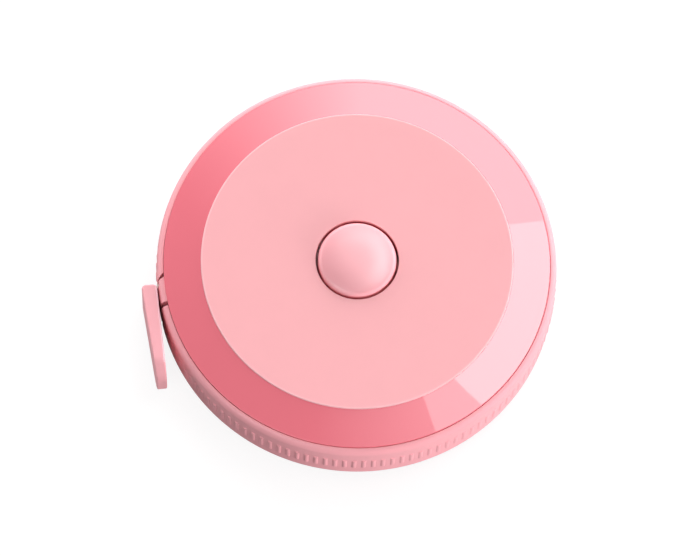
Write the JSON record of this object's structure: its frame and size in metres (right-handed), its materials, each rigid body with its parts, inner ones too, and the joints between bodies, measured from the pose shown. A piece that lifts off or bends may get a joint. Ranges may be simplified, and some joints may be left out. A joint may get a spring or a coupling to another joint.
{
  "type": "retractable tape measure",
  "caption": "Round pocket tape measure for sewing: ribbed case with bevelled lids, domed brake button, and a cloth tape that pulls from a slanted mouth by a tab and winds back on a spring reel.",
  "frame": {"origin": "centre of the back face, which the object lies on", "axes": "+Z out of the front face through the button, +X to the right and +Y up in the front view, with the mouth and tab at -X"},
  "size_m": [0.0519, 0.0504, 0.0114],
  "materials": {
    "ring_plastic": "satin pink moulded plastic",
    "lid_plastic": "polished pink moulded plastic",
    "face_plastic": "matte pale pink inlay",
    "button_plastic": "satin pink moulded plastic",
    "brake_rubber": "dark rubber",
    "spring_steel": "plain spring steel",
    "reel_plastic": "uncoloured moulded plastic",
    "tape_cloth": "coated woven glass cloth",
    "tab_plastic": "satin pink moulded plastic"
  },
  "bodies": {
    "case": {"case_ring": "ring_plastic", "front_cover": "lid_plastic", "front_face_disc": "face_plastic", "back_cover": "lid_plastic", "back_face_disc": "face_plastic", "mainspring": "spring_steel", "button_spring": "spring_steel"},
    "button": {"button": "button_plastic", "brake_ring": "brake_rubber"},
    "reel": {"reel_drum": "reel_plastic", "spring_plate": "reel_plastic", "tape_coil": "tape_cloth"},
    "tape_end": {"tape_lead": "tape_cloth", "pull_tab": "tab_plastic"}
  },
  "joints": [
    {"name": "button_press", "type": "slide", "parent": "case", "child": "button", "axis": [0, 0, -1], "range_m": [0, 0.0012], "stiffness_N_per_m": 600, "springref_m": -0.002, "deforming": ["button_spring"]},
    {"name": "reel_spin", "type": "hinge", "parent": "case", "child": "reel", "pos_m": [0, 0, 0], "axis": [0, 0, 1], "range_deg": [0, 6320], "deforming": ["mainspring"]},
    {"name": "tape_pull", "type": "slide", "parent": "case", "child": "tape_end", "axis": [-0.5736, -0.8192, 0], "range_m": [0, 1.5]}
  ],
  "couplings": [
    {"joint": "reel_spin", "follows": "tape_pull", "rad_per_m": 73.529}
  ]
}
